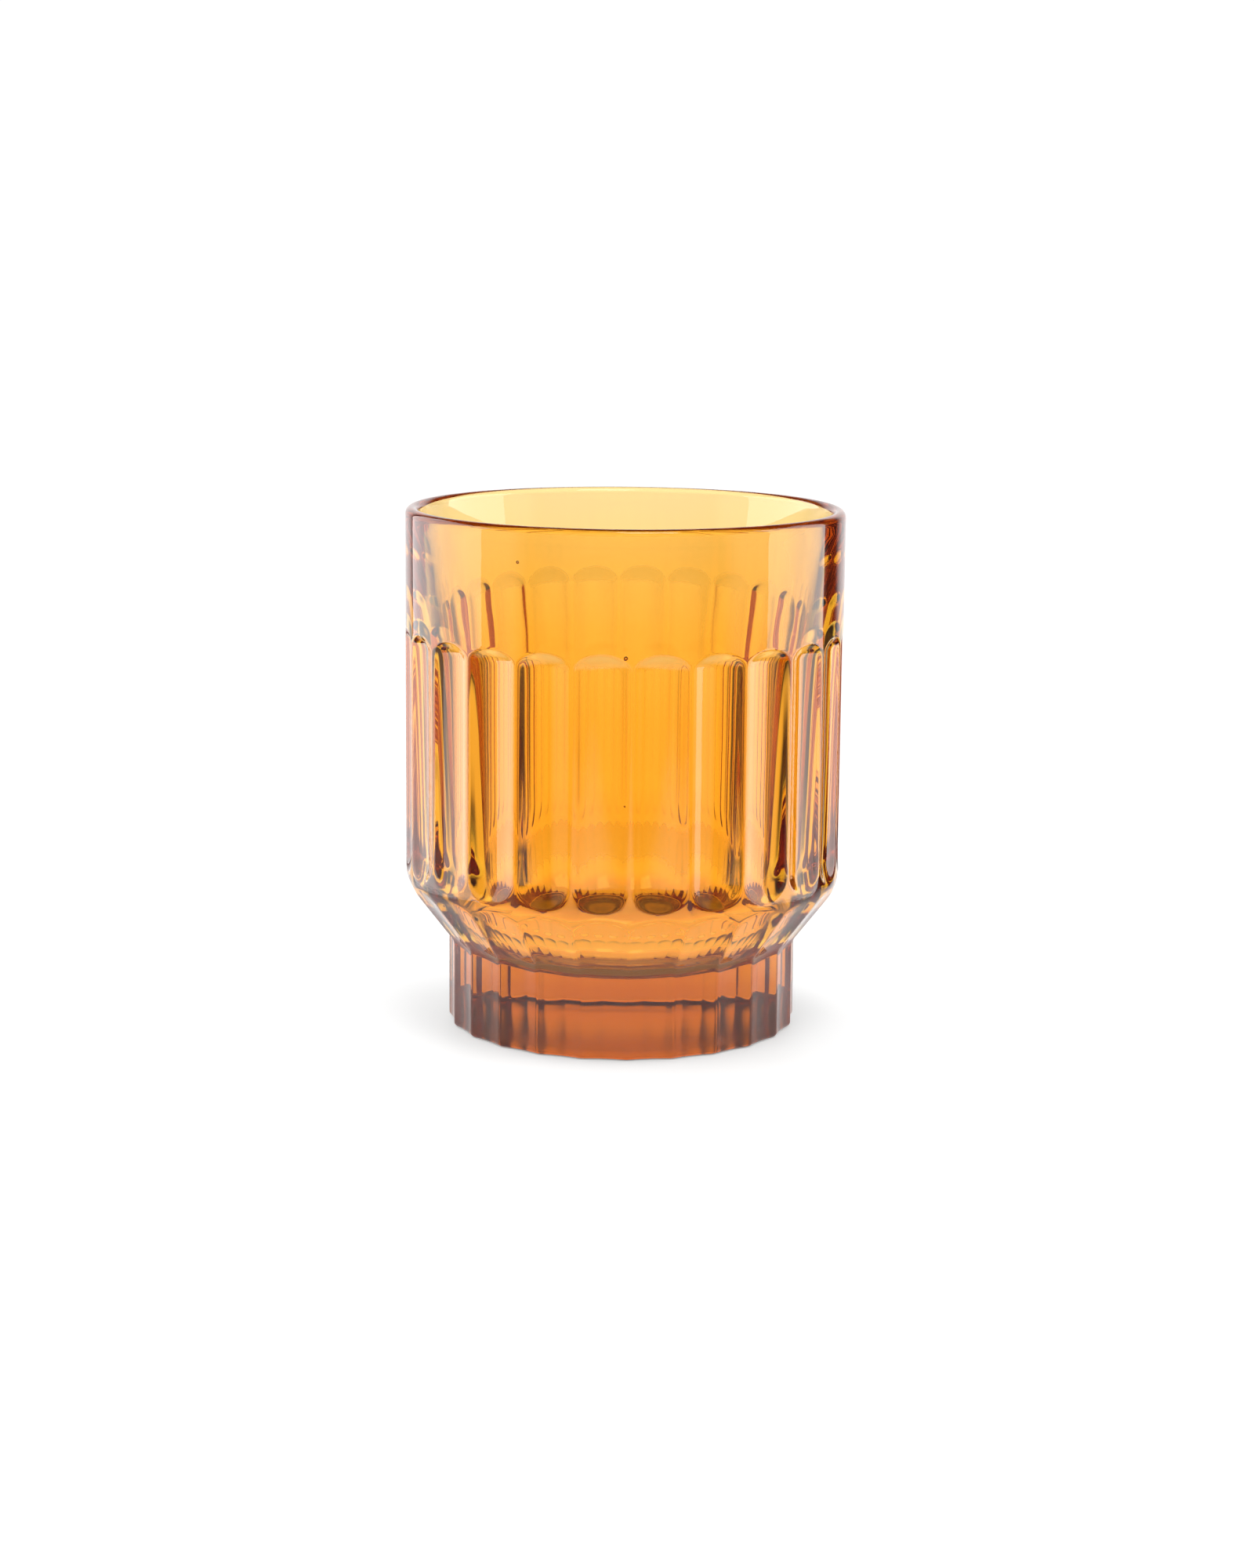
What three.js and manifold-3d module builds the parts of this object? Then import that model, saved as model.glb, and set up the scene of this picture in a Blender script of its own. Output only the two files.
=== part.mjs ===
// A pressed drinking glass: a straight bowl with a ring of concave flutes under a plain band,
// a short cone under the bowl, and a panelled foot of solid glass. All lengths are in millimetres,
// +Z is up, and the origin is at the middle of the face that the glass stands on.

import * as THREE from "three";
import { mergeVertices } from "three/addons/utils/BufferGeometryUtils.js";
import Module from "manifold-3d";

// Overall sizes
const HEIGHT = 100;
const RIM_DIAMETER = 84;
const RIM_WALL = 2.6;

// Foot, and the cone that joins it to the bowl
const FOOT_DIAMETER = 67.5;
const FOOT_HEIGHT = 17;
const FOOT_EDGE_RADIUS = 1;
const CONE_HEIGHT = 10.7;
const SHOULDER_RADIUS = 9.6;

// Hollow under the foot, which leaves a ring to stand on
const UNDERSIDE_DIAMETER = 50;
const UNDERSIDE_DEPTH = 1.2;

// Cavity: a wall that leans most near the lip, and a round-cornered floor set in from the bowl's outside
const BOWL_WALL = 7.3;
const WALL_BEND_HEIGHT = 66;
const WALL_BEND_RADIUS = 200;
const FLOOR_INSET = 11;
const FLOOR_CORNER_RADIUS = 16;
const BASE_THICKNESS = 13;

// Pattern: one panel of the cone and foot stands under each flute of the bowl
const FLUTE_COUNT = 24;
const PLAIN_BAND_HEIGHT = 22.8;
const FLUTE_RADIUS = 12.5;
const FLUTE_DEPTH = 1.3;
const FLUTE_RUNOUT_TOP = 2.6;
const FLUTE_RUNOUT_BOTTOM = 4.5;
const FLUTE_SHOULDER_GAP = 2.3;
const PANEL_HOLLOW = 0.4;
const PANEL_SHOULDER_GAP = 0.15;

// How finely the round shapes are divided
const FACETS_PER_FLUTE = 4;
const CUTTER_FACETS = 60;
const ARC_STEPS = 2;
const CUTTER_END_STEPS = 5;
const MERGE_TOLERANCE = 1e-4;

// How far a cutting shape reaches past the glass
const OVERSHOOT = 2;

// Sizes that follow from those above
const bowlRadius = RIM_DIAMETER / 2;
const footRadius = FOOT_DIAMETER / 2;
const shoulderHeight = FOOT_HEIGHT + CONE_HEIGHT;
const coneAngle = Math.atan2(bowlRadius - footRadius, CONE_HEIGHT);
const fluteTop = HEIGHT - PLAIN_BAND_HEIGHT;
const fluteBottom = shoulderHeight + FLUTE_SHOULDER_GAP;
const flutePitch = (2 * Math.PI) / FLUTE_COUNT;
const facets = FLUTE_COUNT * FACETS_PER_FLUTE;

const wasm = await Module();
wasm.setup();

// Turns an outline of radius and height round the Z axis.
function turned(outline, steps, around) {
  const geometry = new THREE.LatheGeometry(outline.getPoints(steps), around);
  return geometry.rotateX(Math.PI / 2);
}

// A closed geometry as a solid that can be joined and cut.
function solidOf(geometry) {
  geometry.deleteAttribute("normal");
  geometry.deleteAttribute("uv");
  const merged = mergeVertices(geometry, MERGE_TOLERANCE);
  const corners = merged.index.array;
  const triangles = [];
  for (let i = 0; i < corners.length; i += 3) {
    const [a, b, c] = corners.slice(i, i + 3);
    if (a !== b && b !== c && c !== a) triangles.push(a, b, c);
  }
  const mesh = new wasm.Mesh({
    numProp: 3,
    vertProperties: new Float32Array(merged.attributes.position.array),
    triVerts: new Uint32Array(triangles),
  });
  return new wasm.Manifold(mesh);
}

// A finished solid as a geometry that a mesh can show.
function geometryOf(solid) {
  const mesh = solid.getMesh();
  const geometry = new THREE.BufferGeometry();
  geometry.setAttribute("position", new THREE.BufferAttribute(mesh.vertProperties, 3));
  geometry.setIndex(new THREE.BufferAttribute(mesh.triVerts, 1));
  geometry.computeVertexNormals();
  return geometry;
}

// Carries an outline round a corner on an arc that touches the straight runs before and after it.
function roundCorner(outline, before, corner, after, radius) {
  const back = before.clone().sub(corner).normalize();
  const ahead = after.clone().sub(corner).normalize();
  const halfAngle = Math.acos(back.dot(ahead)) / 2;
  const middle = back.clone().add(ahead).normalize();
  const centre = corner.clone().addScaledVector(middle, radius / Math.sin(halfAngle));
  const start = corner.clone().addScaledVector(back, radius / Math.tan(halfAngle)).sub(centre);
  const end = corner.clone().addScaledVector(ahead, radius / Math.tan(halfAngle)).sub(centre);
  const clockwise = start.cross(end) < 0;
  outline.absarc(centre.x, centre.y, radius, start.angle(), end.angle(), clockwise);
}

// The round glass before its pattern: shoulder, plain wall, full-round lip and cavity.
// Under the shoulder it stays wider than the cone and foot, which are cut from it afterwards.
function roundBlank() {
  const shoulderCorner = shoulderHeight - PANEL_SHOULDER_GAP / Math.sin(coneAngle);
  const shoulderTop = shoulderCorner + SHOULDER_RADIUS * Math.tan(coneAngle / 2);
  const shoulderFoot = bowlRadius - SHOULDER_RADIUS * (1 - Math.cos(coneAngle));

  const lipRadius = RIM_WALL / 2;
  const lip = new THREE.Vector2(bowlRadius - lipRadius, HEIGHT - lipRadius);
  const wallBend = new THREE.Vector2(bowlRadius - BOWL_WALL, WALL_BEND_HEIGHT);
  const floorCorner = new THREE.Vector2(bowlRadius - FLOOR_INSET, BASE_THICKNESS);
  const floorMiddle = new THREE.Vector2(0, BASE_THICKNESS);
  // Above its bend the inside wall is the straight line that touches the lip.
  const rise = lip.clone().sub(wallBend);
  const wallLean = Math.atan2(rise.x, rise.y) - Math.asin(lipRadius / rise.length());
  const lipEnd = Math.PI - wallLean;
  const wallTop = new THREE.Vector2(Math.cos(lipEnd), Math.sin(lipEnd)).multiplyScalar(lipRadius).add(lip);

  const outline = new THREE.Path();
  outline.moveTo(0, -OVERSHOOT);
  outline.lineTo(shoulderFoot, -OVERSHOOT);
  outline.absarc(bowlRadius - SHOULDER_RADIUS, shoulderTop, SHOULDER_RADIUS, -coneAngle, 0, false);
  outline.absarc(lip.x, lip.y, lipRadius, 0, Math.PI / 2, false);
  outline.absarc(lip.x, lip.y, lipRadius, Math.PI / 2, lipEnd, false);
  roundCorner(outline, wallTop, wallBend, floorCorner, WALL_BEND_RADIUS);
  roundCorner(outline, wallBend, floorCorner, floorMiddle, FLOOR_CORNER_RADIUS);
  outline.lineTo(floorMiddle.x, floorMiddle.y);
  return solidOf(turned(outline, ARC_STEPS, facets));
}

// The space that the panelled cone and foot leave: each panel is a shallow hollow between two ridges,
// and the cone runs on outwards above the shoulder, clear of the bowl.
function panelledFoot() {
  const clearRadius = (bowlRadius + OVERSHOOT + PANEL_HOLLOW) / Math.cos(flutePitch / 2);
  const clearHeight = FOOT_HEIGHT + (clearRadius - footRadius) / Math.tan(coneAngle);
  const outline = new THREE.Path();
  outline.moveTo(0, 0);
  outline.lineTo(footRadius - FOOT_EDGE_RADIUS, 0);
  outline.absarc(footRadius - FOOT_EDGE_RADIUS, FOOT_EDGE_RADIUS, FOOT_EDGE_RADIUS, -Math.PI / 2, 0, false);
  outline.lineTo(footRadius, FOOT_HEIGHT);
  outline.lineTo(clearRadius, clearHeight);
  outline.lineTo(clearRadius, HEIGHT + OVERSHOOT);
  outline.lineTo(0, HEIGHT + OVERSHOOT);

  const geometry = turned(outline, ARC_STEPS, facets);
  const position = geometry.attributes.position;
  for (let i = 0; i < position.count; i++) {
    const turn = Math.atan2(position.getX(i), -position.getY(i)) / flutePitch;
    const fromMiddle = (turn - Math.floor(turn) - 0.5) * flutePitch;
    const flat = Math.cos(flutePitch / 2) / Math.cos(fromMiddle);
    const hollow = PANEL_HOLLOW * (1 - ((2 * fromMiddle) / flutePitch) ** 2);
    const drawnIn = flat - hollow / footRadius;
    position.setXY(i, position.getX(i) * drawnIn, position.getY(i) * drawnIn);
  }
  return solidOf(geometry);
}

// The shape that presses one flute, round at both ends.
function fluteCutter(turn) {
  const fullTop = fluteTop - FLUTE_RUNOUT_TOP;
  const fullBottom = fluteBottom + FLUTE_RUNOUT_BOTTOM;
  const middle = (fullTop + fullBottom) / 2;
  const half = (fullTop - fullBottom) / 2;
  const endShare = Math.sqrt(1 - (1 - FLUTE_DEPTH / FLUTE_RADIUS) ** 2);
  const topEnd = FLUTE_RUNOUT_TOP / endShare;
  const bottomEnd = FLUTE_RUNOUT_BOTTOM / endShare;

  const outline = new THREE.Path();
  outline.absellipse(0, -half, FLUTE_RADIUS, bottomEnd, -Math.PI / 2, 0, false);
  outline.absellipse(0, half, FLUTE_RADIUS, topEnd, 0, Math.PI / 2, false);
  const geometry = turned(outline, CUTTER_END_STEPS, CUTTER_FACETS);

  geometry.translate(0, -(bowlRadius - FLUTE_DEPTH + FLUTE_RADIUS), middle);
  geometry.rotateZ(turn);
  return solidOf(geometry);
}

// The shallow dome under the foot.
function undersideDome() {
  const rim = UNDERSIDE_DIAMETER / 2;
  const domeRadius = (rim ** 2 + UNDERSIDE_DEPTH ** 2) / (2 * UNDERSIDE_DEPTH);
  const spread = Math.asin(rim / domeRadius);
  const outline = new THREE.Path();
  outline.moveTo(0, -OVERSHOOT);
  outline.lineTo(rim, -OVERSHOOT);
  outline.absarc(0, UNDERSIDE_DEPTH - domeRadius, domeRadius, Math.PI / 2 - spread, Math.PI / 2, false);
  return solidOf(turned(outline, ARC_STEPS, 2 * FLUTE_COUNT));
}

function tumbler() {
  let glass = roundBlank().intersect(panelledFoot());
  for (let flute = 0; flute < FLUTE_COUNT; flute++) {
    glass = glass.subtract(fluteCutter((flute + 0.5) * flutePitch));
  }
  glass = glass.subtract(undersideDome());

  const amberGlass = new THREE.MeshStandardMaterial({
    name: "amber_glass",
    color: 0xf0a232,
    roughness: 0.04,
    metalness: 0,
    transparent: true,
    opacity: 0.55,
  });
  const mesh = new THREE.Mesh(geometryOf(glass), amberGlass);
  mesh.name = "tumbler";
  return mesh;
}

const drinkingGlass = new THREE.Group();
drinkingGlass.add(tumbler());

export default drinkingGlass;
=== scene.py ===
"""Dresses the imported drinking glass: a pressed amber tumbler on a pale table in plain studio light.

Lengths are in metres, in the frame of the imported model: +Z is up, the glass stands on z = 0 and a ridge
between two flutes faces -Y.
"""

import functools
import math

import bmesh
import bpy
from mathutils import Matrix, Vector


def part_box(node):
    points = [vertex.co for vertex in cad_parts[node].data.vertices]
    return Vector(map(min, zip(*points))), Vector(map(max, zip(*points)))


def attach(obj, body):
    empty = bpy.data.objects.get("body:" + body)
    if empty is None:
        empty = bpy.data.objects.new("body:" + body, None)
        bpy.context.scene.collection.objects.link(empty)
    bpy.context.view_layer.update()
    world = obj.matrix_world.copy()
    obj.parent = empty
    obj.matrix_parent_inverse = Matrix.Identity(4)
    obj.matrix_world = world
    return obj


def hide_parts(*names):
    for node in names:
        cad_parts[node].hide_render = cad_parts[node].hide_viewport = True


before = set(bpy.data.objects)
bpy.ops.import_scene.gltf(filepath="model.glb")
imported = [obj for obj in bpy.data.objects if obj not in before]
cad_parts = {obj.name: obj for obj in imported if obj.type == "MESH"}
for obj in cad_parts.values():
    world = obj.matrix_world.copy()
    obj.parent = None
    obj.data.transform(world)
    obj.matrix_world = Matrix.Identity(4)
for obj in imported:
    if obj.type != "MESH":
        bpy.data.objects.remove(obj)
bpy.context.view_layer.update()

MM = 0.001

# Sizes of the glass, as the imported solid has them
high_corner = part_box("tumbler")[1]
HEIGHT = high_corner.z
BOWL_RADIUS = high_corner.x
RIM_WALL = 2.6 * MM
FOOT_RADIUS = 33.75 * MM
FOOT_HEIGHT = 17.0 * MM
FOOT_EDGE = 1.0 * MM
CONE_HEIGHT = 10.7 * MM
SHOULDER_RADIUS = 9.6 * MM
UNDERSIDE_RADIUS = 25.0 * MM
UNDERSIDE_DEPTH = 1.2 * MM

# The cavity: a wall that leans most near the lip, and a round-cornered floor over a solid foot
BOWL_WALL = 7.3 * MM
WALL_BEND_HEIGHT = 66.0 * MM
WALL_BEND_ROUND = 200.0 * MM
FLOOR_INSET = 11.0 * MM
FLOOR_ROUND = 16.0 * MM
BASE_THICKNESS = 13.0 * MM

# The pressed pattern
FLUTES = 24
PLAIN_BAND = 22.8 * MM
FLUTE_RADIUS = 12.5 * MM
FLUTE_DEPTH = 1.3 * MM
FLUTE_RUNOUT_TOP = 2.6 * MM
FLUTE_RUNOUT_BOTTOM = 4.5 * MM
FLUTE_SHOULDER_GAP = 2.3 * MM
PANEL_HOLLOW = 0.4 * MM
PANEL_SHOULDER_GAP = 0.15 * MM

# How far the fire polish has rounded the pressed edges
FLUTE_RIDGE_POLISH = 0.5 * MM
FLUTE_RIM_POLISH = 0.35 * MM
PANEL_RIDGE_POLISH = 0.3 * MM
CREASE_POLISH = 0.6 * MM

# Sizes that follow from those above
PITCH = 2 * math.pi / FLUTES
SHOULDER_HEIGHT = FOOT_HEIGHT + CONE_HEIGHT
CONE_ANGLE = math.atan2(BOWL_RADIUS - FOOT_RADIUS, CONE_HEIGHT)
SHOULDER_CORNER = SHOULDER_HEIGHT - PANEL_SHOULDER_GAP / math.sin(CONE_ANGLE)
SHOULDER_TOP = SHOULDER_CORNER + SHOULDER_RADIUS * math.tan(CONE_ANGLE / 2)
SHOULDER_END = SHOULDER_TOP - SHOULDER_RADIUS * math.sin(CONE_ANGLE)
FLUTE_TOP = HEIGHT - PLAIN_BAND
FLUTE_BOTTOM = SHOULDER_HEIGHT + FLUTE_SHOULDER_GAP
LIP_RADIUS = RIM_WALL / 2
LIP_HEIGHT = HEIGHT - LIP_RADIUS
WALL_BEND_RADIUS = BOWL_RADIUS - BOWL_WALL
FLOOR_RADIUS = BOWL_RADIUS - FLOOR_INSET

# A faint mould seam up the plain band, over a ridge at the back
SEAM_ANGLE = math.radians(195)
SEAM_RISE = 0.06 * MM
SEAM_HALF_ANGLE = math.radians(0.3)
SEAM_MARGIN = 0.05 * MM

# Seed bubbles in the wall: angle from the ridge at -Y, distance from the axis, height and radius
SEED_BUBBLES = (
    (math.radians(-1.6), 39.6 * MM, 76.7 * MM, 0.40 * MM),
    (math.radians(-30.2), 40.4 * MM, 93.4 * MM, 0.30 * MM),
    (math.radians(-1.0), 39.0 * MM, 49.5 * MM, 0.18 * MM),
)
BUBBLE_SUBDIVISIONS = 3

# The mesh's columns, which crowd towards the ridges, and the steps of its round and straight stretches
COLUMNS_PER_FLUTE = 16
RIDGE_CROWDING = 0.6
DOME_STEPS = 10
EDGE_STEPS = 6
LIP_STEPS = 16
CORNER_STEPS = 10
RUN_STEPS = 8
RUN_GUARD = 0.6 * MM
RUN_GUARD_SHARE = 0.25

# The mesh's rings up the outside: the height that each stretch ends at, and how many rings it has
RING_STRETCHES = (
    (15.5 * MM, 6),  # foot
    (18.5 * MM, 9),  # crease over the foot
    (23.5 * MM, 8),  # cone
    (42.0 * MM, 48),  # shoulder and the flutes' lower ends
    (71.0 * MM, 16),  # flutes
    (79.0 * MM, 26),  # the flutes' round tops
    (LIP_HEIGHT, 10),  # plain band
)

# The stretch in which the rings bend down towards the ridges, along the flutes' round tops
ARCH_DROP = FLUTE_RUNOUT_TOP
ARCH_LOW = 64.0 * MM
ARCH_HIGH = 92.0 * MM

# A point this far inside the outline belongs to the cavity or the underside, and isn't pressed
SKIN_MARGIN = 2.0 * MM

# Points closer than this are one point, and sizes are looked up to this many decimals of a metre
TOUCHING = 0.001 * MM
LOOKUP_DECIMALS = 8

# How much of each colour one wall's surfaces let through, by height, darkened by painted shade at the crease
# over the foot and at the foot's lower edge; more colour comes with depth
RIM_TINT = (0.96, 0.73, 0.38, 1)
FLUTE_TINT = (1.0, 0.68, 0.22, 1)
# painted shade: a darker band at the crease where the cone meets the foot
CREASE_PAINTED_SHADE = (0.95, 0.48, 0.20, 1)
FOOT_TINT = (1.0, 0.68, 0.24, 1)
# painted shade: darker towards the foot's lower edge
FOOT_LOW_PAINTED_SHADE = (0.78, 0.38, 0.16, 1)
TINT_AND_SHADE_HEIGHTS = (
    (3.0 * MM, FOOT_LOW_PAINTED_SHADE),
    (9.5 * MM, FOOT_TINT),
    (15.0 * MM, FOOT_TINT),
    (17.0 * MM, CREASE_PAINTED_SHADE),
    (19.0 * MM, FLUTE_TINT),
    (65.0 * MM, FLUTE_TINT),
    (85.0 * MM, RIM_TINT),
)
DEPTH_COLOUR = (0.94, 0.78, 0.0, 1)
DEPTH_DENSITY = 100.0
GLASS_IOR = 1.52

# The pressed surface: slow waves left by the mould, and patches that are a little less glossy
WAVE_SCALE = 110.0
WAVE_DETAIL = 1.0
WAVE_STRENGTH = 0.25
WAVE_HEIGHT = 0.15 * MM
WEAR_SCALE = 45.0
WEAR_DETAIL = 4.0
WEAR_START = 0.55
WEAR_FULL = 0.8
WEAR_ROUGHNESS = 0.03

# The stippled disc under the foot, which fades out over a short way at its edge and above the underside
STIPPLE_RADIUS = 31.5 * MM
STIPPLE_EDGE = 0.3 * MM
STIPPLE_HEIGHT = UNDERSIDE_DEPTH + 0.1 * MM
STIPPLE_FADE = 0.1 * MM
STIPPLE_ROUGHNESS = 0.22

# The table, a hair under the foot so that no faces coincide; it fades out from a share of its reach
TABLE_RADIUS = 0.50
TABLE_HALF_WIDTH = 0.15
TABLE_SOLID = 0.4
TABLE_GAP = 0.05 * MM
TABLE_SIDES = 96
TABLE_COLOUR = (0.85, 0.85, 0.85, 1)
TABLE_ROUGHNESS = 0.6
TABLE_GLOW = 0.25
TABLE_GLOW_COLOUR = (1, 1, 1, 1)

# Two upright light panels beside the glass and one above it; turns go to the right from the camera
RIGHT_TURN = math.radians(100)
RIGHT_WIDTH = 0.6
LEFT_TURN = math.radians(-110)
LEFT_WIDTH = 0.9
SIDE_HEIGHT = 0.9
SIDE_DISTANCE = 0.7
SIDE_CENTRE = 0.2
SIDE_LIGHT = 2.4
TOP_TURN = math.radians(20)
TOP_SIZE = 0.35
TOP_DISTANCE = 0.35
TOP_CENTRE = 0.9
TOP_LIGHT = 4.0

# The room round the glass: a light is full within its core angle and gone beyond its edge angle
WHITE = (1.0, 1.0, 1.0)
ROOM_COLOUR = (1.0, 0.74, 0.64)
ROOM_LIGHT = 0.05
FRONT_LIGHT = 0.25
FRONT_CORE = math.radians(35)
FRONT_EDGE = math.radians(65)
SIDE_COLOUR = (1.0, 0.82, 0.68)
SIDE_GLOW = 1.1
SIDE_CORE = math.radians(28)
SIDE_EDGE = math.radians(42)
GROUND_LIGHT = 1.15
GROUND_TILT = math.radians(-4)
GROUND_CORE = math.radians(25)
GROUND_EDGE = math.radians(39)
DOME_LIGHT = 0.9
PAPER_LIGHT = 1.05

# The camera, fitted to the photograph's 1600 by 2000 frame
CAMERA_TURN = math.radians(-2.06)
CAMERA_PLACE = Vector((0.74 * MM, -614.5 * MM, 161.3 * MM))
CAMERA_PITCH = math.radians(10.608)
CAMERA_ROLL = math.radians(0.543)
CAMERA_NEAREST = 10.0 * MM
FOCAL_PIXELS = 4116.6
FRAME_PIXELS = 2000
SENSOR = 36.0

# How often light may turn on its way through the glass
GLASS_BOUNCES = 24
GLOSS_BOUNCES = 12


def arc(centre, radius, start, end, count):
    """Points of an arc in the plane of radius and height, both ends included."""
    turns = [start + (end - start) * i / count for i in range(count + 1)]
    return [(centre[0] + radius * math.cos(t), centre[1] + radius * math.sin(t)) for t in turns]


def straight(start, end):
    """Points after start along a straight run, with one close to each end to keep its shading straight."""
    guard = min(RUN_GUARD / (end - start).length, RUN_GUARD_SHARE)
    between = [guard + (1 - 2 * guard) * i / RUN_STEPS for i in range(RUN_STEPS + 1)]
    return [start.lerp(end, share) for share in between + [1.0]]


def rounded(corners, count):
    """Points along the straight runs between corners, each given as radius, height and rounding."""
    points = [Vector(corners[0][:2])]
    for before, corner, after in zip(corners, corners[1:], corners[2:]):
        middle = Vector(corner[:2])
        rounding = corner[2]
        back = (Vector(before[:2]) - middle).normalized()
        ahead = (Vector(after[:2]) - middle).normalized()
        half = back.angle(ahead) / 2
        centre = middle + (back + ahead).normalized() * rounding / math.sin(half)
        start = middle + back * rounding / math.tan(half)
        end = middle + ahead * rounding / math.tan(half)
        spoke = start - centre
        turn = spoke.angle_signed(end - centre)
        points += straight(points[-1], start)
        for i in range(1, count + 1):
            points.append(centre + Matrix.Rotation(-turn * i / count, 2) @ spoke)
    return points + straight(points[-1], Vector(corners[-1][:2]))


def soft_min(a, b, polish):
    """The smaller of two radii, with the edge between them rounded over."""
    near = max(polish - abs(a - b), 0.0) / polish
    return min(a, b) - near * near * polish / 4


def soft_max(a, b, polish):
    """The larger of two radii, with the corner between them filled."""
    return -soft_min(-a, -b, polish)


def cone_radius(height):
    """Radius of the ridges on the foot and the cone, which runs on outwards above the shoulder."""
    cone = FOOT_RADIUS + (height - FOOT_HEIGHT) * math.tan(CONE_ANGLE)
    return soft_max(FOOT_RADIUS, cone, CREASE_POLISH)


def round_radius(height):
    """Radius of the bowl and its round shoulder before the pattern is pressed, wide of the cone below."""
    if height >= SHOULDER_TOP:
        return BOWL_RADIUS
    drop = SHOULDER_TOP - max(height, SHOULDER_END)
    return BOWL_RADIUS - SHOULDER_RADIUS + math.sqrt(SHOULDER_RADIUS**2 - drop**2)


def panel_radius(height, turn):
    """Radius of a shallow panel of the foot and cone, turn being the angle from the panel's middle."""
    flat = math.cos(PITCH / 2) / math.cos(turn)
    hollow = PANEL_HOLLOW * (1 - (2 * turn / PITCH) ** 2)
    return cone_radius(height) * flat - hollow


def flute_radius(height, turn):
    """Radius of a flute, turn being the angle from its middle; beyond its ends it lies outside the bowl."""
    full_top = FLUTE_TOP - FLUTE_RUNOUT_TOP
    full_bottom = FLUTE_BOTTOM + FLUTE_RUNOUT_BOTTOM
    axis = BOWL_RADIUS - FLUTE_DEPTH + FLUTE_RADIUS
    past = max(height - full_top, full_bottom - height, 0.0)
    runout = FLUTE_RUNOUT_BOTTOM if height < full_bottom else FLUTE_RUNOUT_TOP
    end_length = runout / math.sqrt(1 - (1 - FLUTE_DEPTH / FLUTE_RADIUS) ** 2)
    share = 1 - (past / end_length) ** 2
    inside = FLUTE_RADIUS**2 * share - (axis * math.sin(turn)) ** 2
    return axis * math.cos(turn) - math.sqrt(max(inside, 0.0))


@functools.lru_cache(maxsize=None)
def outside_radius(height, turn):
    """Radius of the finished outside, turn being the angle from the middle of a flute."""
    mirrored = PITCH - turn
    flute = soft_min(flute_radius(height, turn), flute_radius(height, mirrored), FLUTE_RIDGE_POLISH)
    panel = soft_min(panel_radius(height, turn), panel_radius(height, mirrored), PANEL_RIDGE_POLISH)
    bowl = soft_min(round_radius(height), flute, FLUTE_RIM_POLISH)
    return soft_min(bowl, panel, PANEL_RIDGE_POLISH)


def follow_arch(height, across):
    """Moves a ring's height so that the rings run along the flutes' round tops; across is 1 at a ridge."""
    if height <= ARCH_LOW or height >= ARCH_HIGH:
        return height
    if height < FLUTE_TOP:
        share = (height - ARCH_LOW) / (FLUTE_TOP - ARCH_LOW)
    else:
        share = (ARCH_HIGH - height) / (ARCH_HIGH - FLUTE_TOP)
    weight = share * share * (3 - 2 * share)
    return height - ARCH_DROP * across * across * weight


def underside_outline():
    """The shallow dome under the foot, from the axis out to its edge."""
    dome_radius = (UNDERSIDE_RADIUS**2 + UNDERSIDE_DEPTH**2) / (2 * UNDERSIDE_DEPTH)
    spread = math.asin(UNDERSIDE_RADIUS / dome_radius)
    centre = (0.0, UNDERSIDE_DEPTH - dome_radius)
    return arc(centre, dome_radius, math.pi / 2, math.pi / 2 - spread, DOME_STEPS)


def foot_edge_outline():
    """The foot's rounded bottom edge, up to the first ring of the outside."""
    centre = (FOOT_RADIUS - FOOT_EDGE, FOOT_EDGE)
    return arc(centre, FOOT_EDGE, -math.pi / 2, 0, EDGE_STEPS)[:-1]


def outside_outline():
    """The foot, cone and bowl before the pattern, with rings close together where the pattern bends."""
    heights = []
    start = FOOT_EDGE
    for end, count in RING_STRETCHES:
        heights += [start + (end - start) * i / count for i in range(count)]
        start = end
    return [(min(round_radius(height), cone_radius(height)), height) for height in heights]


def lip_outline():
    """The full-round lip, which ends where the straight inside wall touches it."""
    centre = Vector((BOWL_RADIUS - LIP_RADIUS, LIP_HEIGHT))
    rise = centre - Vector((WALL_BEND_RADIUS, WALL_BEND_HEIGHT))
    lean = math.atan2(rise.x, rise.y) - math.asin(LIP_RADIUS / rise.length)
    return arc(centre, LIP_RADIUS, 0, math.pi - lean, LIP_STEPS)


def cavity_outline(lip_end):
    """The inside wall and the floor, from just after the lip to the axis."""
    corners = [
        lip_end,
        (WALL_BEND_RADIUS, WALL_BEND_HEIGHT, WALL_BEND_ROUND),
        (FLOOR_RADIUS, BASE_THICKNESS, FLOOR_ROUND),
        (0.0, BASE_THICKNESS),
    ]
    return [tuple(point) for point in rounded(corners, CORNER_STEPS)[1:]]


def glass_outline():
    """The outline that is spun, as radius and height, from the underside's middle to the floor's middle."""
    outline = underside_outline() + foot_edge_outline() + outside_outline() + lip_outline()
    return outline + cavity_outline(outline[-1])


def spin_share(bm):
    """Spins the outline through one flute's share of the glass."""
    points = [bm.verts.new((0.0, -radius, height)) for radius, height in glass_outline()]
    edges = [bm.edges.new(pair) for pair in zip(points, points[1:])]
    bmesh.ops.spin(
        bm,
        geom=points + edges,
        cent=(0, 0, 0),
        axis=(0, 0, 1),
        angle=PITCH,
        steps=COLUMNS_PER_FLUTE,
    )


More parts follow.
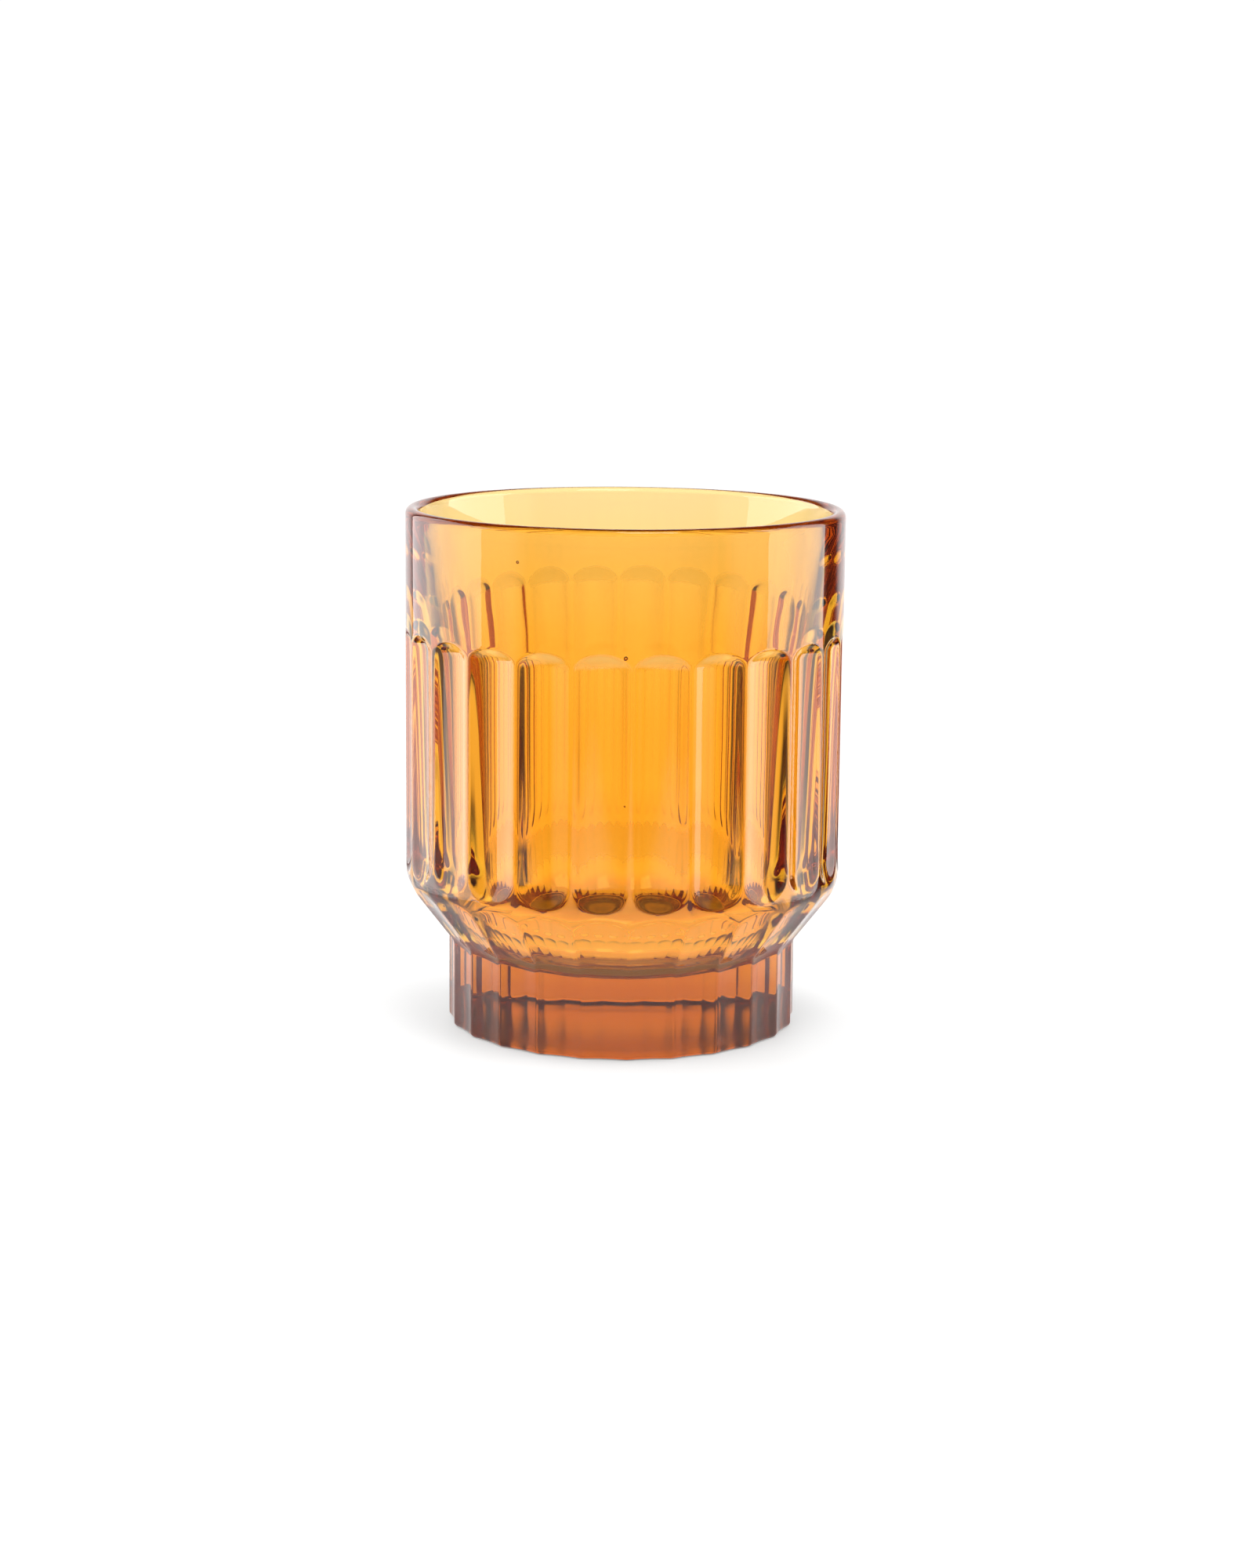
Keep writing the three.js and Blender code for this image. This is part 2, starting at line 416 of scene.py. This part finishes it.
def press_pattern(bm):
    """Moves the spun outside in to the flutes and panels."""
    for vert in bm.verts:
        radius = math.hypot(vert.co.x, vert.co.y)
        height = vert.co.z
        skin = cone_radius(height) if height < SHOULDER_END else round_radius(height)
        if radius < skin - SKIN_MARGIN or height > LIP_HEIGHT - TOUCHING:
            continue
        across = 2 * math.atan2(vert.co.x, -vert.co.y) / PITCH - 1
        across += RIDGE_CROWDING * (math.sin(math.pi * across / 2) - across)
        height = follow_arch(height, across)
        turn = across * PITCH / 2
        level = round(max(height, FOOT_EDGE), LOOKUP_DECIMALS)
        skin = outside_radius(level, round(abs(turn), LOOKUP_DECIMALS))
        radius = skin - max(FOOT_RADIUS - radius, 0.0) if height < FOOT_EDGE else skin
        angle = PITCH / 2 + turn
        vert.co = (radius * math.sin(angle), -radius * math.cos(angle), height)


def copy_round(bm):
    """Copies one flute's share round the axis, and joins the copies into one closed skin."""
    bmesh.ops.spin(
        bm,
        geom=bm.verts[:] + bm.edges[:] + bm.faces[:],
        cent=(0, 0, 0),
        axis=(0, 0, 1),
        angle=PITCH * (FLUTES - 1),
        steps=FLUTES - 1,
        use_duplicate=True,
    )
    bmesh.ops.remove_doubles(bm, verts=bm.verts, dist=TOUCHING)
    bmesh.ops.recalc_face_normals(bm, faces=bm.faces)


def raise_seam(bm):
    """The fine line that the mould's joint left up the plain band."""
    for vert in bm.verts:
        angle = math.atan2(vert.co.x, -vert.co.y) % (2 * math.pi)
        radius = math.hypot(vert.co.x, vert.co.y)
        outside = radius > BOWL_RADIUS - SEAM_MARGIN
        if outside and vert.co.z > FLUTE_TOP and abs(angle - SEAM_ANGLE) < SEAM_HALF_ANGLE:
            vert.co.xy *= 1 + SEAM_RISE / radius


def blow_bubbles(bm):
    """Air bubbles in the glass: small balls whose faces look inwards."""
    for angle, reach, height, radius in SEED_BUBBLES:
        place = Matrix.Translation((reach * math.sin(angle), -reach * math.cos(angle), height))
        ball = bmesh.ops.create_icosphere(
            bm, subdivisions=BUBBLE_SUBDIVISIONS, radius=radius, matrix=place
        )
        faces = {face for vert in ball["verts"] for face in vert.link_faces}
        bmesh.ops.reverse_faces(bm, faces=list(faces))


def finished(name, bm, material):
    """A modelled mesh as an object of the scene."""
    mesh = bpy.data.meshes.new(name)
    bm.to_mesh(mesh)
    bm.free()
    mesh.materials.append(material)
    piece = bpy.data.objects.new(name, mesh)
    bpy.context.scene.collection.objects.link(piece)
    return piece


def pressed_glass():
    """The whole glass as one mesh: one flute's share of it, spun and pressed, then copied round the axis."""
    bm = bmesh.new()
    spin_share(bm)
    press_pattern(bm)
    copy_round(bm)
    raise_seam(bm)
    blow_bubbles(bm)
    for face in bm.faces:
        face.smooth = True
    return finished("amber_tumbler", bm, amber_glass())


def set_inputs(tree, node, inputs):
    """Links a node's inputs to other nodes' outputs, or sets them to plain values."""
    for name, value in inputs.items():
        if isinstance(value, bpy.types.NodeSocket):
            tree.links.new(value, node.inputs[name])
        else:
            node.inputs[name].default_value = value


def add_node(tree, kind, inputs):
    """A new node with its inputs."""
    node = tree.nodes.new(kind)
    set_inputs(tree, node, inputs)
    return node


def object_place(tree):
    """A surface point's place on the piece."""
    return add_node(tree, "ShaderNodeTexCoord", {}).outputs["Object"]


def scaled_reach(tree, place, scale):
    """Distance of a place from the origin after each of its axes is scaled."""
    scaled = add_node(tree, "ShaderNodeVectorMath", {0: place, 1: scale})
    scaled.operation = "MULTIPLY"
    reach = add_node(tree, "ShaderNodeVectorMath", {0: scaled.outputs["Vector"]})
    reach.operation = "LENGTH"
    return reach.outputs["Value"]


def height_tint_and_painted_shade(tree, place):
    """The colour that the surfaces let through at each height, with painted shade at the crease and at the
    foot's lower edge.
    """
    parts = add_node(tree, "ShaderNodeSeparateXYZ", {"Vector": place})
    share = add_node(tree, "ShaderNodeMapRange", {"Value": parts.outputs["Z"], "From Max": HEIGHT})
    ramp = add_node(tree, "ShaderNodeValToRGB", {"Fac": share.outputs["Result"]})
    stops = ramp.color_ramp.elements
    stops.remove(stops[1])
    stops[0].position = TINT_AND_SHADE_HEIGHTS[0][0] / HEIGHT
    stops[0].color = TINT_AND_SHADE_HEIGHTS[0][1]
    for level, colour in TINT_AND_SHADE_HEIGHTS[1:]:
        stops.new(level / HEIGHT).color = colour
    return ramp.outputs["Color"]


def mould_waves(tree, place):
    """Slow waves that the mould left in the surface."""
    waves = add_node(
        tree, "ShaderNodeTexNoise", {"Vector": place, "Scale": WAVE_SCALE, "Detail": WAVE_DETAIL}
    )
    relief = add_node(
        tree,
        "ShaderNodeBump",
        {"Height": waves.outputs["Fac"], "Strength": WAVE_STRENGTH, "Distance": WAVE_HEIGHT},
    )
    return relief.outputs["Normal"]


def worn_patches(tree, place):
    """Roughness of the patches that are a little less glossy."""
    wear = add_node(
        tree, "ShaderNodeTexNoise", {"Vector": place, "Scale": WEAR_SCALE, "Detail": WEAR_DETAIL}
    )
    dulled = add_node(
        tree,
        "ShaderNodeMapRange",
        {
            "Value": wear.outputs["Fac"],
            "From Min": WEAR_START,
            "From Max": WEAR_FULL,
            "To Max": WEAR_ROUGHNESS,
        },
    )
    return dulled.outputs["Result"]


def stippled_underside(tree, place):
    """Roughness of the stippled disc under the foot."""
    parts = add_node(tree, "ShaderNodeSeparateXYZ", {"Vector": place})
    low = add_node(
        tree,
        "ShaderNodeMapRange",
        {
            "Value": parts.outputs["Z"],
            "From Min": STIPPLE_HEIGHT + STIPPLE_FADE,
            "From Max": STIPPLE_HEIGHT,
        },
    )
    inner = add_node(
        tree,
        "ShaderNodeMapRange",
        {
            "Value": scaled_reach(tree, place, (1, 1, 0)),
            "From Min": STIPPLE_RADIUS + STIPPLE_EDGE,
            "From Max": STIPPLE_RADIUS,
            "To Max": STIPPLE_ROUGHNESS,
        },
    )
    both = add_node(tree, "ShaderNodeMath", {0: low.outputs["Result"], 1: inner.outputs["Result"]})
    both.operation = "MULTIPLY"
    return both.outputs["Value"]


def amber_glass():
    """Clear amber glass: a tint at each surface, with painted shade at the crease and the foot's lower edge,
    and more colour with depth.
    """
    material = bpy.data.materials.new("amber_glass")
    material.use_nodes = True
    tree = material.node_tree
    place = object_place(tree)
    roughness = add_node(
        tree, "ShaderNodeMath", {0: worn_patches(tree, place), 1: stippled_underside(tree, place)}
    )
    roughness.operation = "MAXIMUM"
    surface = {
        # the base colour carries painted shade at the crease and at the foot's lower edge
        "Base Color": height_tint_and_painted_shade(tree, place),
        "Roughness": roughness.outputs["Value"],
        "Normal": mould_waves(tree, place),
        "IOR": GLASS_IOR,
        "Transmission Weight": 1.0,
    }
    set_inputs(tree, tree.nodes["Principled BSDF"], surface)
    depth = add_node(
        tree, "ShaderNodeVolumeAbsorption", {"Color": DEPTH_COLOUR, "Density": DEPTH_DENSITY}
    )
    set_inputs(tree, tree.nodes["Material Output"], {"Volume": depth.outputs["Volume"]})
    return material


def lit_white_acrylic():
    """White acrylic with a faint glow, which fades out towards the table's edge."""
    material = bpy.data.materials.new("lit_white_acrylic")
    material.use_nodes = True
    tree = material.node_tree
    reach = scaled_reach(tree, object_place(tree), (1 / TABLE_HALF_WIDTH, 1 / TABLE_RADIUS, 0))
    fade = add_node(
        tree, "ShaderNodeMapRange", {"Value": reach, "From Min": 1.0, "From Max": TABLE_SOLID}
    )
    fade.interpolation_type = "SMOOTHSTEP"
    surface = {
        "Base Color": TABLE_COLOUR,
        "Roughness": TABLE_ROUGHNESS,
        "Emission Color": TABLE_GLOW_COLOUR,
        "Emission Strength": TABLE_GLOW,
        "Alpha": fade.outputs["Result"],
    }
    set_inputs(tree, tree.nodes["Principled BSDF"], surface)
    return material


def pale_table():
    """The surface that the glass stands on."""
    bm = bmesh.new()
    below = Matrix.Translation((0, 0, -TABLE_GAP))
    bmesh.ops.create_circle(
        bm, cap_ends=True, radius=TABLE_RADIUS, segments=TABLE_SIDES, matrix=below
    )
    table = finished("pale_table", bm, lit_white_acrylic())


def light_panel(name, turn, distance, width, height, centre_height, radiance, level=True):
    """A soft panel beside or above the glass; a level one stands upright, another faces the foot."""
    light = bpy.data.lights.new(name, "AREA")
    light.shape = "RECTANGLE"
    light.size = width
    light.size_y = height
    light.energy = radiance * math.pi * width * height
    panel = bpy.data.objects.new(name, light)
    bpy.context.scene.collection.objects.link(panel)
    angle = turn + CAMERA_TURN
    place = Vector((distance * math.sin(angle), -distance * math.cos(angle), centre_height))
    aim = Vector((-place.x, -place.y, 0.0 if level else -place.z))
    panel.matrix_world = Matrix.Translation(place) @ aim.to_track_quat("-Z", "Y").to_matrix().to_4x4()
    panel.visible_camera = False
    panel.visible_transmission = False


def studio_panels():
    """The panels that light the table and gleam on the glass."""
    light_panel("right_panel", RIGHT_TURN, SIDE_DISTANCE, RIGHT_WIDTH, SIDE_HEIGHT, SIDE_CENTRE, SIDE_LIGHT)
    light_panel("left_panel", LEFT_TURN, SIDE_DISTANCE, LEFT_WIDTH, SIDE_HEIGHT, SIDE_CENTRE, SIDE_LIGHT)
    light_panel("top_panel", TOP_TURN, TOP_DISTANCE, TOP_SIZE, TOP_SIZE, TOP_CENTRE, TOP_LIGHT, level=False)


def facing(tree, direction):
    """Cosine of the angle between a ray and a direction, which turns with the camera's place."""
    ray = add_node(tree, "ShaderNodeTexCoord", {}).outputs["Generated"]
    turned = Matrix.Rotation(CAMERA_TURN, 3, "Z") @ direction
    along = add_node(tree, "ShaderNodeVectorMath", {0: ray, 1: turned})
    along.operation = "DOT_PRODUCT"
    return along.outputs["Value"]


def spread(tree, cosine, core, edge):
    """A share that is 1 within the core angle and fades to 0 at the edge angle."""
    share = add_node(
        tree,
        "ShaderNodeMapRange",
        {"Value": cosine, "From Min": math.cos(edge), "From Max": math.cos(core)},
    )
    share.interpolation_type = "SMOOTHSTEP"
    return share.outputs["Result"]


def plain_light(tree, colour, strength):
    """A background of one colour for the world."""
    background = add_node(tree, "ShaderNodeBackground", {"Color": (*colour, 1), "Strength": strength})
    return background.outputs["Background"]


def studio_world():
    """White paper to the camera; to the glass a bright ground behind it that fades into a dim, warm room."""
    world = bpy.data.worlds.new("studio")
    world.use_nodes = True
    tree = world.node_tree
    backwards = Vector((0, math.cos(GROUND_TILT), math.sin(GROUND_TILT)))
    either_side = add_node(tree, "ShaderNodeMath", {0: facing(tree, Vector((1, 0, 0)))})
    either_side.operation = "ABSOLUTE"
    path = add_node(tree, "ShaderNodeLightPath", {})
    layers = (
        (spread(tree, facing(tree, -backwards), FRONT_CORE, FRONT_EDGE), WHITE, FRONT_LIGHT),
        (spread(tree, either_side.outputs["Value"], SIDE_CORE, SIDE_EDGE), SIDE_COLOUR, SIDE_GLOW),
        (spread(tree, facing(tree, backwards), GROUND_CORE, GROUND_EDGE), WHITE, GROUND_LIGHT),
        (path.outputs["Diffuse Depth"], WHITE, DOME_LIGHT),
        (path.outputs["Is Camera Ray"], WHITE, PAPER_LIGHT),
    )
    light = plain_light(tree, ROOM_COLOUR, ROOM_LIGHT)
    for share, colour, strength in layers:
        layer = plain_light(tree, colour, strength)
        light = add_node(tree, "ShaderNodeMixShader", {0: share, 1: light, 2: layer}).outputs["Shader"]
    set_inputs(tree, tree.nodes["World Output"], {"Surface": light})
    bpy.context.scene.world = world


def photo_camera():
    """The photograph's view."""
    camera = bpy.data.cameras.new("photo_camera")
    camera.sensor_fit = "VERTICAL"
    camera.sensor_height = SENSOR
    camera.lens = FOCAL_PIXELS / FRAME_PIXELS * SENSOR
    camera.clip_start = CAMERA_NEAREST
    rig = bpy.data.objects.new("photo_camera", camera)
    bpy.context.scene.collection.objects.link(rig)
    tilt = Matrix.Rotation(math.pi / 2 - CAMERA_PITCH, 4, "X") @ Matrix.Rotation(CAMERA_ROLL, 4, "Z")
    rig.matrix_world = Matrix.Rotation(CAMERA_TURN, 4, "Z") @ Matrix.Translation(CAMERA_PLACE) @ tilt
    bpy.context.scene.camera = rig


def light_paths():
    """Plain colours, enough turns of light for thick glass, and a shadow without coloured flecks."""
    scene = bpy.context.scene
    scene.view_settings.view_transform = "Standard"
    scene.cycles.max_bounces = GLASS_BOUNCES
    scene.cycles.transmission_bounces = GLASS_BOUNCES
    scene.cycles.glossy_bounces = GLOSS_BOUNCES
    scene.cycles.caustics_refractive = False


photo_camera()
studio_world()
pale_table()
studio_panels()
light_paths()

glass = pressed_glass()
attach(glass, "root")
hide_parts("tumbler")
